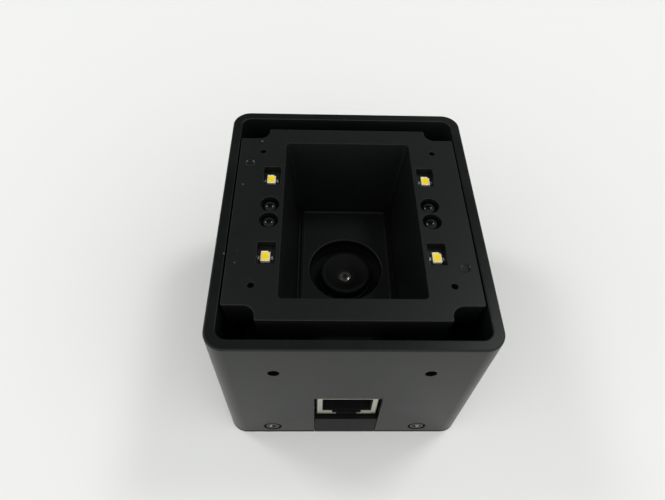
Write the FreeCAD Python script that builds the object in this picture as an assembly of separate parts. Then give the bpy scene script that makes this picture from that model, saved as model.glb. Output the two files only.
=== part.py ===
import FreeCAD, Part
import math
import os

from FreeCAD import Vector

# Embedded barcode reader: a black metal case with a moulded light funnel under its rim, a camera at the
# foot of the funnel and an eight-pole jack in the front wall. Sizes are in millimetres.
# The origin is the middle of the base, +X is to the right of the jack, +Y to the back and +Z up.

# Case: four walls, open at the top and at the bottom
case_width = 61.8
case_depth = 72.0
case_height = 50.4
case_wall = 2.5
case_corner_radius = 4.6
case_inner_radius = 2.5
rim_chamfer = 0.4
rim_inner_chamfer = 0.3
foot_chamfer = 0.6
ledge_width = 2.0
ledge_height = 3.0
ledge_end_space = 9.0

# Tapped holes in the front wall that fix the reader to a machine
fixing_pitch = 34.0
fixing_below_rim = 11.1
fixing_hole = 2.5

# Base cover with its front tab, its screw lugs and the standoffs of the main board
cover_thickness = 2.0
cover_gap = 0.15
tab_height = 10.5
tab_gap = 0.12
lug_width = 8.0
lug_length = 5.0
lug_board_gap = 1.2
standoff_width = 5.0
standoff_inset = 4.0
standoff_end_inset = 11.0

# Countersunk screws through the walls into the lugs
cover_screw_pitch = 38.4
cover_screw_height = 4.8
cover_screw_head = 4.0
cover_screw_shank = 1.9
cover_screw_length = 6.0
cover_screw_sink = 0.1
countersink_margin = 0.1

# Light panel: plate, skirt and the notches at its corners
panel_side_gap = 0.3
panel_end_gap = 4.25
panel_plate = 2.1
panel_drop = 8.0
panel_edge_chamfer = 0.25
panel_corner_radius = 0.4
skirt_wall = 1.5
skirt_taper = 0.4
tongue_width = 41.6
notch_length = 3.6
notch_radius = 2.6

# Light funnel of the panel, between the two ribs that carry the lamps
panel_rib = 11.95
funnel_length = 47.8
funnel_radius = 1.0
funnel_wall = 1.0
funnel_flare = 0.3
funnel_side_space = 0.85
funnel_end_space = 0.15
funnel_foot_gap = 0.2

# Windows for the LEDs, holes for the domes and pilot holes for the light board screws
window_width = 4.2
window_length = 6.1
window_web = 1.05
window_pitch = 24.0
window_flare = 0.2
dome_hole = 4.6
dome_web = 0.35
dome_radius = 1.9
dome_bulge = 1.0
dome_setback = 0.2
pilot_hole = 1.5
pilot_side_inset = 6.05
pilot_end_inset = 5.0

# LED packages with their phosphor fill
led_width = 2.1
led_length = 2.8
led_height = 0.75
led_outset = 0.25
phosphor_border = 0.25
phosphor_depth = 0.2

# Circuit boards
board_thickness = 1.6
board_edge_gap = 0.5
board_corner_radius = 2.5
light_board_gap = 0.4
camera_board_width = 27.0
camera_board_length = 22.0
camera_board_thickness = 1.2

# Eight-pole jack
jack_width = 15.4
jack_height = 13.3
jack_length = 18.0
jack_sheet = 0.3
jack_setback = 1.0
jack_side_gap = 0.5
jack_head_gap = 0.35
jack_foot_gap = 0.3
insert_gap = 0.05
plug_width = 12.0
plug_height = 7.4
plug_floor = 3.2
plug_depth = 13.0
latch_step_width = 7.0
latch_step_drop = 1.7
latch_slot_width = 4.9
latch_slot_drop = 1.1
latch_depth = 9.0
shield_margin = 0.2
shield_front_lift = 1.0
contact_count = 8
contact_pitch = 1.02
contact_width = 0.45
contact_thickness = 0.35
contact_front = 2.5
contact_flat = 2.5
contact_slope = 6.5
contact_drop = 3.4

# Camera: lens, holder, sensor and the plate with the lens well
lens_head_diameter = 13.5
lens_head_length = 3.0
lens_thread_diameter = 12.0
lens_length = 7.6
lens_fit = 0.05
lens_setback = 1.8
lens_cone_diameter = 11.4
lens_aperture = 4.2
lens_cone_depth = 2.5
front_glass_diameter = 5.1
front_glass_length = 1.4
front_glass_bulge = 0.45
rear_glass_diameter = 7.9
rear_glass_length = 1.1
lens_shoulder = 2.6
holder_wall = 1.15
holder_base_width = 16.0
holder_base_height = 2.0
holder_head_gap = 0.2
holder_ear_pitch = 20.0
holder_ear_width = 6.0
sensor_width = 8.0
sensor_height = 1.0
sensor_glass_width = 6.4
sensor_glass_height = 0.4
sensor_gap = 1.2
camera_lift = 3.0
pad_width = 24.5
pad_length = 41.4
pad_height = 1.0
pad_edge_chamfer = 0.35
pad_corner_radius = 1.0
flange_lip = 0.3
flange_thickness = 1.2
well_diameter = 19.6
well_edge_chamfer = 0.45
well_wall = 1.2
well_depth = 6.7
well_lip_gap = 0.3
post_width = 4.0
post_jack_gap = 0.8
post_end_inset = 3.2
jack_cover_gap = 0.7

# Small machine screws, spacers and their bores, and how finely small round forms are drawn
screw_shank = 1.9
screw_head = 3.8
screw_head_height = 1.3
screw_cross = 0.5
screw_cross_share = 0.6
screw_cross_depth = 0.7
screw_fit = 0.05
screw_board_gap = 0.2
main_screw_length = 6.0
light_screw_shank = 1.4
light_screw_head = 3.0
light_screw_head_height = 1.1
light_screw_tip_gap = 0.8
ear_screw_shank = 1.6
ear_screw_head = 3.2
ear_screw_head_height = 1.1
ear_screw_tip_gap = 0.3
spacer_width = 4.0
hex_sides = 6
screw_sides = 8
hidden_sides = 16
cap_runs = 3

# Connectors, ribbons and chips
socket_width = 3.2
socket_length = 8.0
socket_height = 2.2
socket_slot = 0.6
socket_slot_depth = 0.8
socket_slot_margin = 0.2
ribbon_thickness = 0.3
ribbon_width = 6.0
ribbon_entry = 0.6
ribbon_bow = 1.5
camera_socket_length = 18.0
camera_socket_width = 4.0
camera_socket_share = 0.55
camera_socket_offset = 5.5
decoder_width = 14.0
decoder_height = 1.2
memory_width = 8.0
memory_length = 9.5
memory_height = 1.0
chip_gap = 2.0
chip_edge_inset = 1.5
chip_chamfer = 0.2

# Places that follow from the sizes above
inner_x = case_width / 2 - case_wall
inner_y = case_depth / 2 - case_wall
front = -case_depth / 2
panel_x = inner_x - panel_side_gap
panel_y = inner_y - panel_end_gap
panel_side_y = panel_y - notch_length
funnel_width = 2 * (panel_x - panel_rib)
panel_foot = case_height - panel_drop
plate_bottom = case_height - panel_plate

main_top = tab_height + jack_foot_gap
main_bottom = main_top - board_thickness
jack_top = main_top + jack_height
jack_front = front + jack_setback
jack_back = jack_front + jack_length
slot_x = jack_width / 2 + jack_side_gap
slot_top = jack_top + jack_head_gap

# The camera stands high enough for its connector, and for the lens plate to clear the jack
lens_stack = camera_board_thickness + sensor_height + sensor_glass_height + sensor_gap + lens_length
plate_stack = jack_height + jack_cover_gap + flange_thickness + pad_height - lens_setback
spacer_height = max(camera_lift, plate_stack - lens_stack)
camera_bottom = main_top + spacer_height
camera_top = camera_bottom + camera_board_thickness
sensor_top = camera_top + sensor_height
lens_foot = sensor_top + sensor_glass_height + sensor_gap
lens_front = lens_foot + lens_length
lens_neck = lens_front - lens_head_length
holder_top = lens_neck - holder_head_gap
holder_radius = lens_thread_diameter / 2 + lens_fit + holder_wall
pad_top = lens_front + lens_setback
flange_top = pad_top - pad_height
flange_bottom = flange_top - flange_thickness
funnel_foot = flange_top + funnel_foot_gap
funnel_foot_x = pad_width / 2 + funnel_side_space
funnel_foot_y = pad_length / 2 + funnel_end_space
flange_x = funnel_foot_x + funnel_wall + flange_lip
flange_y = funnel_foot_y + funnel_wall + flange_lip
post_x = jack_width / 2 + post_jack_gap + post_width / 2
post_y = pad_length / 2 - post_end_inset

window_x = funnel_width / 2 + window_web + window_width / 2
led_x = window_x + led_outset
dome_pitch = dome_hole + dome_web
pilot_x = panel_x - pilot_side_inset
pilot_y = panel_side_y - pilot_end_inset
light_board_bottom = plate_bottom - board_thickness
light_board_inner = funnel_width / 2 + funnel_wall + light_board_gap
light_board_outer = panel_x - skirt_wall - skirt_taper - light_board_gap / 2
light_board_y = panel_side_y - skirt_wall - skirt_taper - light_board_gap
ribbon_x = (light_board_inner + light_board_outer) / 2
board_x = inner_x - board_edge_gap
board_y = inner_y - board_edge_gap
standoff_x = board_x - standoff_inset
standoff_y = board_y - standoff_end_inset
ear_x = holder_ear_pitch / 2

sides = (-1, 1)
side_names = {-1: "left", 1: "right"}
end_names = {-1: "front", 1: "back"}
corners = [(sx, sy) for sx in sides for sy in sides]


def box(x0, x1, y0, y1, z0, z1):
    return Part.makeBox(x1 - x0, y1 - y0, z1 - z0, Vector(x0, y0, z0))


def cylinder(x, y, z0, z1, diameter):
    return Part.makeCylinder(diameter / 2, z1 - z0, Vector(x, y, z0))


def rising_edges(shape, half_x, half_y, reach):
    """Edges that climb near the four corners of a rectangle with these half sizes."""
    found = []
    for edge in shape.Edges:
        middle = edge.BoundBox.Center
        near = abs(abs(middle.x) - half_x) < reach and abs(abs(middle.y) - half_y) < reach
        if near and edge.BoundBox.ZLength > reach:
            found.append(edge)
    return found


def rod(x, y, z0, z1, width, flats):
    """Upright rod with flat sides; width is across opposite flats."""
    reach = width / 2 / math.cos(math.pi / flats)
    angles = [2 * math.pi * (turn + 0.5) / flats for turn in range(flats)]
    points = [Vector(x + reach * math.cos(angle), y + reach * math.sin(angle), z0) for angle in angles]
    return Part.Face(Part.makePolygon(points + points[:1])).extrude(Vector(0, 0, z1 - z0))


def outline(points, z):
    """Closed wire through right-angled corners (x, y, radius), each rounded by its own radius."""
    starts, ends, arcs = [], [], []
    count = len(points)
    for i, (x, y, radius) in enumerate(points):
        corner = Vector(x, y, z)
        before = Vector(points[i - 1][0], points[i - 1][1], z)
        after = Vector(points[(i + 1) % count][0], points[(i + 1) % count][1], z)
        back = (before - corner).normalize()
        ahead = (after - corner).normalize()
        starts.append(corner + back * radius)
        ends.append(corner + ahead * radius)
        centre = corner + (back + ahead) * radius
        middle = centre - (back + ahead).normalize() * radius
        arcs.append(Part.Arc(starts[-1], middle, ends[-1]).toShape())
    runs = [Part.LineSegment(ends[i], starts[(i + 1) % count]).toShape() for i in range(count)]
    return Part.Wire([edge for pair in zip(arcs, runs) for edge in pair])


def rounded_rectangle(half_x, half_y, radius, z, cx=0.0, cy=0.0):
    signs = ((1, -1), (1, 1), (-1, 1), (-1, -1))
    return outline([(cx + sx * half_x, cy + sy * half_y, radius) for sx, sy in signs], z)


def prism(wire, height):
    return Part.Face(wire).extrude(Vector(0, 0, height))


def drafted(foot_x, foot_y, z0, top_x, top_y, z1):
    """Block with slanted flat sides, from its half sizes at the foot and at the top."""
    body = Part.makeWedge(-foot_x, z0, -foot_y, -top_y, -top_x, foot_x, z1, foot_y, top_y, top_x)
    body.rotate(Vector(0, 0, 0), Vector(1, 0, 0), 90)
    return body


def turned(points):
    """Solid turned about the Z axis from (radius, height) points."""
    corner_points = [Vector(radius, 0, height) for radius, height in points + points[:1]]
    return Part.Face(Part.makePolygon(corner_points)).revolve(Vector(0, 0, 0), Vector(0, 0, 1), 360)


def cap_points(radius, base, bulge):
    """Profile of a round cap in short straight runs, from its edge (radius, base) to its crown."""
    ball = (radius ** 2 + bulge ** 2) / (2 * bulge)
    spread = math.asin(radius / ball)
    angles = [spread * (1 - run / cap_runs) for run in range(cap_runs + 1)]
    return [(ball * math.sin(angle), base + bulge - ball * (1 - math.cos(angle))) for angle in angles]


def edges_at(shape, z, half_x, half_y, x=0.0, y=0.0):
    """Edges of a shape that lie at height z, within the given half sizes round (x, y)."""
    reach = 1e-3
    found = []
    for edge in shape.Edges:
        limits = edge.BoundBox
        level = abs(limits.ZMin - z) < reach and abs(limits.ZMax - z) < reach
        in_x = max(limits.XMax - x, x - limits.XMin) < half_x + reach
        in_y = max(limits.YMax - y, y - limits.YMin) < half_y + reach
        if level and in_x and in_y:
            found.append(edge)
    return found


def screw_bore(x, y, z0, z1, width):
    """Cut for a hidden screw, with as few sides as the screw."""
    return rod(x, y, z0, z1, width, screw_sides)


def flat_sided_shank(z0, z1, shank):
    """Shank with few sides on the Z axis; its corners lie on the round shank it stands for."""
    return rod(0, 0, z0, z1, shank * math.cos(math.pi / screw_sides), screw_sides)


def hidden_screw(head, head_height, shank, length):
    """Plain screw on the Z axis, drawn with few sides: its head sits on Z = 0 and its shank points down."""
    return rod(0, 0, 0, head_height, head, screw_sides).fuse(flat_sided_shank(-length, 0, shank))


def countersunk_screw(head, shank, length):
    """Countersunk screw on the Z axis: the top of the head is at Z = 0 and the shank points down."""
    body = turned([(0, 0), (head / 2, 0), (shank / 2, (shank - head) / 2), (0, (shank - head) / 2)])
    body = body.fuse(flat_sided_shank(-length, (shank - head) / 2, shank))
    half = head * screw_cross_share / 2
    bar = box(-half, half, -screw_cross / 2, screw_cross / 2, -screw_cross_depth, screw_cross_depth)
    return body.cut(bar.fuse(bar.rotated(Vector(0, 0, 0), Vector(0, 0, 1), 90)))


def placed(shape, x, y, z, flip=False):
    copy = shape.copy()
    if flip:
        copy.rotate(Vector(0, 0, 0), Vector(1, 0, 0), 180)
    copy.translate(Vector(x, y, z))
    return copy


def along_y(shape, x, y, z, inward):
    """Stand a screw made on the Z axis in a wall, so that its shank points along inward * Y."""
    copy = shape.copy()
    copy.rotate(Vector(0, 0, 0), Vector(1, 0, 0), 90 * inward)
    copy.translate(Vector(x, y, z))
    return copy


def make_housing():
    body = prism(rounded_rectangle(case_width / 2, case_depth / 2, case_corner_radius, 0), case_height)
    body = body.makeChamfer(rim_chamfer, edges_at(body, case_height, case_width, case_depth))
    body = body.makeChamfer(foot_chamfer, edges_at(body, 0, case_width, case_depth))
    body = body.cut(prism(rounded_rectangle(inner_x, inner_y, case_inner_radius, 0), case_height))
    body = body.makeChamfer(rim_inner_chamfer, edges_at(body, case_height, inner_x, inner_y))
    ledge_y = inner_y - ledge_end_space
    for side in sides:
        root = side * (inner_x + case_wall / 2)
        wall = side * inner_x
        edge = side * (inner_x - ledge_width)
        slope_top = panel_foot - ledge_height
        slope_foot = slope_top - ledge_width
        profile = [(root, panel_foot), (edge, panel_foot), (edge, slope_top), (wall, slope_foot),
                   (root, slope_foot)]
        corner_points = [Vector(x, -ledge_y, z) for x, z in profile + profile[:1]]
        body = body.fuse(Part.Face(Part.makePolygon(corner_points)).extrude(Vector(0, 2 * ledge_y, 0)))
    body = body.cut(box(-slot_x, slot_x, front - case_wall, front + 2 * case_wall, -foot_chamfer, slot_top))
    for side in sides:
        x, z = side * fixing_pitch / 2, case_height - fixing_below_rim
        start = Vector(x, front - case_wall, z)
        body = body.cut(Part.makeCylinder(fixing_hole / 2, 3 * case_wall, start, Vector(0, 1, 0)))
    clearance = countersunk_clearance()
    for sx, sy in corners:
        x, y = sx * cover_screw_pitch / 2, sy * case_depth / 2
        body = body.cut(along_y(clearance, x, y, cover_screw_height, -sy))
    return body.removeSplitter()


def countersunk_clearance():
    """Cone and clearance hole for a cover screw, sunk from the wall's face at Z = 0."""
    mouth = cover_screw_head / 2 + cover_screw_sink + countersink_margin
    hole = cover_screw_shank / 2 + countersink_margin
    cone = turned([(0, case_wall), (mouth + case_wall, case_wall), (hole, hole - mouth), (0, hole - mouth)])
    return cone.fuse(screw_bore(0, 0, -2 * case_wall, hole - mouth, 2 * hole))


def make_base_cover():
    x, y = inner_x - cover_gap, inner_y - cover_gap
    body = prism(rounded_rectangle(x, y, case_inner_radius, 0), cover_thickness)
    tab_x = slot_x - tab_gap
    tab = box(-tab_x, tab_x, front, front + case_wall, 0, tab_height)
    tab = tab.makeChamfer(foot_chamfer, edges_at(tab, 0, tab_x, 0, 0, front))
    body = body.fuse(tab).fuse(box(-tab_x, tab_x, front + case_wall, -y + lug_length, 0, cover_thickness))
    lug_top = main_bottom - lug_board_gap
    bore = cover_screw_shank + 2 * screw_fit
    for sx, sy in corners:
        centre, half = sx * cover_screw_pitch / 2, lug_width / 2
        outer, inner = sy * y, sy * (y - lug_length)
        body = body.fuse(box(centre - half, centre + half, min(outer, inner), max(outer, inner), 0, lug_top))
        body = body.cut(along_y(screw_bore(0, 0, -lug_length - cover_gap, cover_gap, bore), centre, outer,
                                cover_screw_height, -sy))
    for sx, sy in corners:
        body = body.fuse(rod(sx * standoff_x, sy * standoff_y, 0, main_bottom, standoff_width, hex_sides))
        body = body.cut(screw_bore(sx * standoff_x, sy * standoff_y, cover_thickness, main_bottom,
                                   screw_shank + 2 * screw_fit))
    return body.removeSplitter()


def make_cover_screws():
    screw = countersunk_screw(cover_screw_head, cover_screw_shank, cover_screw_length)
    placed_screws = []
    for sx, sy in corners:
        y = sy * (case_depth / 2 - cover_screw_sink)
        placed_screws.append(along_y(screw, sx * cover_screw_pitch / 2, y, cover_screw_height, -sy))
    return Part.makeCompound(placed_screws)


def make_panel_block():
    """Solid block of the panel: two drafted blocks that cross, with rounded corners and notches."""
    tongue_x = tongue_width / 2
    body = drafted(panel_x - skirt_taper, panel_side_y - skirt_taper, panel_foot,
                   panel_x, panel_side_y, case_height)
    body = body.fuse(drafted(tongue_x - skirt_taper, panel_y - skirt_taper, panel_foot,
                             tongue_x, panel_y, case_height))
    notch_round = min(notch_radius, notch_length - 2 * panel_corner_radius)
    body = body.makeFillet(notch_round, rising_edges(body, tongue_x, panel_side_y, skirt_taper))
    outer_corners = rising_edges(body, panel_x, panel_side_y, skirt_taper)
    outer_corners += rising_edges(body, tongue_x, panel_y, skirt_taper)
    body = body.makeFillet(panel_corner_radius, outer_corners)
    return body.makeChamfer(panel_edge_chamfer, edges_at(body, case_height, panel_x, panel_y))


def funnel_half(z):
    """Half sizes of the funnel's inside at height z."""
    share = (z - funnel_foot) / (case_height - funnel_foot)
    return (funnel_foot_x + (funnel_width / 2 - funnel_foot_x) * share,
            funnel_foot_y + (funnel_length / 2 - funnel_foot_y) * share)


def make_light_path(over):
    """Space inside the funnel, from below its foot to above its flared mouth."""
    sections = []
    mouth = case_height - funnel_flare
    for z, flare in ((funnel_foot - over, 0), (mouth, 0), (mouth + 2 * funnel_flare, 2 * funnel_flare)):
        half_x, half_y = funnel_half(z)
        sections.append(rounded_rectangle(half_x + flare, half_y + flare, funnel_radius + flare, z))
    return Part.makeLoft(sections, True, True)


def window_cut():
    """Cut through the plate for an LED, with slanted upper edges."""
    half_x, half_y, wide = window_width / 2, window_length / 2, 2 * window_flare
    flare = drafted(half_x, half_y, case_height - window_flare,
                    half_x + wide, half_y + wide, case_height + window_flare)
    return flare.fuse(box(-half_x, half_x, -half_y, half_y, plate_bottom, case_height))


def make_light_panel():
    body = make_panel_block()
    inset = skirt_wall + skirt_taper
    for half_x, half_y in ((panel_x, panel_side_y), (tongue_width / 2, panel_y)):
        x, y = half_x - inset, half_y - inset
        body = body.cut(box(-x, x, -y, y, panel_foot, plate_bottom))
    window = window_cut()
    over = funnel_wall
    low, high = plate_bottom - over, case_height + over
    for sx, sy in corners:
        body = body.cut(placed(window, sx * window_x, sy * window_pitch / 2, 0))
        body = body.cut(cylinder(sx * window_x, sy * dome_pitch / 2, low, high, dome_hole))
        body = body.cut(screw_bore(sx * pilot_x, sy * pilot_y, low, high, pilot_hole))
    foot_x, foot_y = funnel_half(funnel_foot)
    top_x, top_y = funnel_half(plate_bottom)
    body = body.fuse(drafted(foot_x + funnel_wall, foot_y + funnel_wall, funnel_foot, top_x + funnel_wall,
                             top_y + funnel_wall, plate_bottom))
    return body.cut(make_light_path(over)).removeSplitter()


def make_light_board(side):
    half_x = (light_board_outer - light_board_inner) / 2
    x0, x1 = side * ribbon_x - half_x, side * ribbon_x + half_x
    body = box(x0, x1, -light_board_y, light_board_y, light_board_bottom, plate_bottom)
    for end in sides:
        body = body.cut(screw_bore(side * pilot_x, end * pilot_y, light_board_bottom, plate_bottom,
                                   light_screw_shank + 2 * screw_board_gap))
    return body


def make_light_board_screws():
    length = case_height - light_screw_tip_gap - light_board_bottom
    screw = hidden_screw(light_screw_head, light_screw_head_height, light_screw_shank, length)
    places = [(sx * pilot_x, sy * pilot_y) for sx, sy in corners]
    return Part.makeCompound([placed(screw, x, y, light_board_bottom, True) for x, y in places])


def make_white_led(sx, sy):
    """LED package in its window, a little outside the window's middle."""
    x, y = sx * led_x, sy * window_pitch / 2
    body = box(x - led_width / 2, x + led_width / 2, y - led_length / 2, y + led_length / 2, plate_bottom,
               plate_bottom + led_height)
    return body.cut(make_led_phosphor(sx, sy))


def make_led_phosphor(sx, sy):
    x, y = sx * led_x, sy * window_pitch / 2
    half_x, half_y = led_width / 2 - phosphor_border, led_length / 2 - phosphor_border
    top = plate_bottom + led_height
    return box(x - half_x, x + half_x, y - half_y, y + half_y, top - phosphor_depth, top)


def make_ir_dome(sx, sy):
    crown = panel_plate - dome_setback
    cap = cap_points(dome_radius, crown - dome_bulge, dome_bulge)
    body = turned([(0, 0), (dome_radius, 0)] + cap)
    return placed(body, sx * window_x, sy * dome_pitch / 2, plate_bottom)


def make_socket(x, z, upward):
    """Ribbon connector on a board at height z, with its slot facing away from the board."""
    body = box(-socket_width / 2, socket_width / 2, -socket_length / 2, socket_length / 2, 0, socket_height)
    slot_y = ribbon_width / 2 + socket_slot_margin
    body = body.cut(box(-socket_slot / 2, socket_slot / 2, -slot_y, slot_y, socket_height - socket_slot_depth,
                        socket_height))
    return placed(body, x, 0, z, not upward)


def make_ribbon(side):
    """Flat cable with a slight bow, from the main board's socket up to the light board's."""
    low = main_top + socket_height - ribbon_entry
    high = light_board_bottom - socket_height + ribbon_entry
    middle = (low + high) / 2
    half = ribbon_thickness / 2
    bow = side * ribbon_bow
    x = side * ribbon_x

    def at(offset, z):
        return Vector(x + offset, -ribbon_width / 2, z)

    edges = [Part.Arc(at(-half, low), at(bow - half, middle), at(-half, high)).toShape(),
             Part.LineSegment(at(-half, high), at(half, high)).toShape(),
             Part.Arc(at(half, high), at(bow + half, middle), at(half, low)).toShape(),
             Part.LineSegment(at(half, low), at(-half, low)).toShape()]
    return Part.Face(Part.Wire(edges)).extrude(Vector(0, ribbon_width, 0))


def make_lens_plate():
    """Plate at the funnel's foot with the lens well; its four posts stand on the main board."""
    body = prism(rounded_rectangle(flange_x, flange_y, pad_corner_radius, flange_bottom), flange_thickness)
    pad = prism(rounded_rectangle(pad_width / 2, pad_length / 2, pad_corner_radius, flange_top), pad_height)
    body = body.fuse(pad.makeChamfer(pad_edge_chamfer, edges_at(pad, pad_top, pad_width / 2, pad_length / 2)))
    well_foot = pad_top - well_depth
    boss = well_diameter / 2 + well_wall
    body = body.fuse(box(-boss, boss, -boss, boss, well_foot, flange_top))
    body = body.cut(cylinder(0, 0, well_foot + well_wall, pad_top, well_diameter))
    body = body.makeChamfer(well_edge_chamfer, edges_at(body, pad_top, well_diameter / 2, well_diameter / 2))
    body = body.cut(cylinder(0, 0, well_foot, well_foot + well_wall, 2 * (holder_radius + well_lip_gap)))
    half = post_width / 2
    for sx, sy in corners:
        x, y = sx * post_x, sy * post_y
        body = body.fuse(box(x - half, x + half, y - half, y + half, main_top, flange_bottom))
    return body.removeSplitter()


def make_lens_barrel():
    """Threaded lens body with a conical front recess, a front lens seat and a wider rear bore."""
    head, thread = lens_head_diameter / 2, lens_thread_diameter / 2
    aperture = lens_aperture / 2
    seat = lens_front - lens_cone_depth
    shoulder = seat - lens_shoulder
    body = turned([(lens_cone_diameter / 2, lens_front), (head, lens_front), (head, lens_neck),
                   (thread, lens_neck), (thread, lens_foot), (aperture, lens_foot), (aperture, seat)])
    body = body.cut(hidden_round(shoulder, seat, front_glass_diameter + 2 * lens_fit))
    return body.cut(hidden_round(lens_foot, shoulder, rear_glass_diameter + 2 * lens_fit))


def hidden_round(z0, z1, diameter):
    """Round form out of sight on the Z axis, drawn with few sides; its corners lie on the circle."""
    return rod(0, 0, z0, z1, diameter * math.cos(math.pi / hidden_sides), hidden_sides)


def make_lens_front_glass():
    """Front lens: a flange under its seat, and the round cap that shows in the aperture."""
    seat = lens_front - lens_cone_depth
    crown = lens_aperture / 2 - lens_fit
    cap = turned([(0, seat)] + cap_points(crown, seat, front_glass_bulge))
    return cap.fuse(hidden_round(seat - front_glass_length, seat, front_glass_diameter))


def make_lens_rear_glass():
    top = lens_front - lens_cone_depth - lens_shoulder
    return hidden_round(top - rear_glass_length, top, rear_glass_diameter)


def make_lens_holder():
    half = holder_base_width / 2
    body = box(-half, half, -half, half, camera_top, camera_top + holder_base_height)
    reach = ear_x + holder_ear_width / 2
    half_ear = holder_ear_width / 2
    body = body.fuse(box(-reach, reach, -half_ear, half_ear, camera_top, camera_top + holder_base_height))
    body = body.fuse(rod(0, 0, camera_top, holder_top, 2 * holder_radius, hidden_sides))
    body = body.cut(cylinder(0, 0, camera_top, holder_top, lens_thread_diameter + 2 * lens_fit))
    for side in sides:
        body = body.cut(screw_bore(side * ear_x, 0, camera_top, camera_top + holder_base_height,
                                   ear_screw_shank + 2 * screw_fit))
    return body.removeSplitter()


def make_lens_holder_screws():
    """Long screws from under the main board, through the spacers and the camera board, into the ears."""
    length = camera_top + holder_base_height - ear_screw_tip_gap - main_bottom
    screw = hidden_screw(ear_screw_head, ear_screw_head_height, ear_screw_shank, length)
    return Part.makeCompound([placed(screw, side * ear_x, 0, main_bottom, True) for side in sides])


def chip(width, length, height, x, y, z):
    body = box(x - width / 2, x + width / 2, y - length / 2, y + length / 2, z, z + height)
    return body.makeChamfer(chip_chamfer, edges_at(body, z + height, width / 2, length / 2, x, y))


def make_sensor_glass():
    half = sensor_glass_width / 2
    return box(-half, half, -half, half, sensor_top, sensor_top + sensor_glass_height)


def make_camera_board():
    half_x, half_y = camera_board_width / 2, camera_board_length / 2
    body = box(-half_x, half_x, -half_y, half_y, camera_bottom, camera_top)
    for side in sides:
        body = body.cut(screw_bore(side * ear_x, 0, camera_bottom, camera_top,
                                   ear_screw_shank + 2 * screw_board_gap))
    return body


def make_camera_spacers():
    """Hexagonal spacers between the two boards, one round each long screw."""
    spacer = rod(0, 0, main_top, camera_bottom, spacer_width, hex_sides)
    spacer = spacer.cut(screw_bore(0, 0, main_top, camera_bottom, ear_screw_shank + 2 * screw_board_gap))
    return Part.makeCompound([placed(spacer, side * ear_x, 0, 0) for side in sides])


def camera_connector(z0, z1):
    half_x, half_y = camera_socket_length / 2, camera_socket_width / 2
    return box(-half_x, half_x, camera_socket_offset - half_y, camera_socket_offset + half_y, z0, z1)


def make_main_board():
    body = prism(rounded_rectangle(board_x, board_y, board_corner_radius, main_bottom), board_thickness)
    for sx, sy in corners:
        body = body.cut(screw_bore(sx * standoff_x, sy * standoff_y, main_bottom, main_top,
                                   screw_shank + 2 * screw_board_gap))
    for side in sides:
        body = body.cut(screw_bore(side * ear_x, 0, main_bottom, main_top,
                                   ear_screw_shank + 2 * screw_board_gap))
    return body


def make_main_board_screws():
    screw = hidden_screw(screw_head, screw_head_height, screw_shank, main_screw_length)
    places = [(sx * standoff_x, sy * standoff_y) for sx, sy in corners]
    return Part.makeCompound([placed(screw, x, y, main_top) for x, y in places])


def plug_opening(margin, y0, y1, latch_y1):
    """Opening for a plug with its stepped latch slot at the bottom, enlarged by a margin."""
    floor = main_top + plug_floor
    step_floor = floor - latch_step_drop
    slot_floor = step_floor - latch_slot_drop
    plug_x = plug_width / 2 + margin
    step_x = latch_step_width / 2 + margin
    latch_x = latch_slot_width / 2 + margin
    body = box(-plug_x, plug_x, y0, y1, floor - margin, floor + plug_height + margin)
    body = body.fuse(box(-step_x, step_x, y0, latch_y1, step_floor - margin, floor + margin))
    return body.fuse(box(-latch_x, latch_x, y0, latch_y1, slot_floor - margin, step_floor + margin))


def make_jack_shield():
    """Folded sheet box on the main board; its front wall stops above the board, under the latch slot."""
    x = jack_width / 2
    inner = x - jack_sheet
    body = box(-x, x, jack_front, jack_back, main_top, jack_top)
    body = body.cut(box(-inner, inner, jack_front + jack_sheet, jack_back - jack_sheet, main_top,
                        jack_top - jack_sheet))
    opening_end = jack_front + 2 * jack_sheet
    body = body.cut(plug_opening(shield_margin, jack_front - jack_sheet, opening_end, opening_end))
    body = body.cut(box(-x, x, jack_front, jack_front + jack_sheet, main_top, main_top + shield_front_lift))
    return body.removeSplitter()


def make_jack_insert():
    x = jack_width / 2 - jack_sheet - insert_gap
    y0 = jack_front + jack_sheet + insert_gap
    body = box(-x, x, y0, jack_back - jack_sheet - insert_gap, main_top, jack_top - jack_sheet - insert_gap)
    body = body.cut(plug_opening(0, y0 - jack_sheet, jack_front + plug_depth, jack_front + latch_depth))
    return body.removeSplitter()


def make_jack_contact(index):
    """Spring contact: a flat run under the roof of the plug opening, then a slope down to the back."""
    x = (index - (contact_count - 1) / 2) * contact_pitch
    roof = main_top + plug_floor + plug_height
    y0 = jack_front + contact_front
    y1 = y0 + contact_flat
    y2 = y1 + contact_slope
    under = roof - contact_thickness
    profile = [(y0, roof), (y1, roof), (y2, roof - contact_drop), (y2, under - contact_drop), (y1, under),
               (y0, under)]
    points = [Vector(x - contact_width / 2, y, z) for y, z in profile + profile[:1]]
    return Part.Face(Part.makePolygon(points)).extrude(Vector(contact_width, 0, 0))


def save(node, shape):
    shape.exportStep("parts/" + node + ".step")
    print("%-24s solids %d  volume %9.2f" % (node, len(shape.Solids), shape.Volume))


os.makedirs("parts", exist_ok=True)

save("housing", make_housing())
save("base_cover", make_base_cover())
save("cover_screws", make_cover_screws())

save("main_board", make_main_board())
save("main_board_screws", make_main_board_screws())
decoder_y = board_y - chip_edge_inset - decoder_width / 2
save("decoder_chip", chip(decoder_width, decoder_width, decoder_height, 0, decoder_y, main_top))
memory_y = socket_length / 2 + chip_gap + memory_length / 2
save("memory_chip", chip(memory_width, memory_length, memory_height, -ribbon_x, memory_y, main_top))

save("jack_shield", make_jack_shield())
save("jack_insert", make_jack_insert())
for index in range(contact_count):
    save("jack_contact_%d" % (index + 1), make_jack_contact(index))

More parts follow.
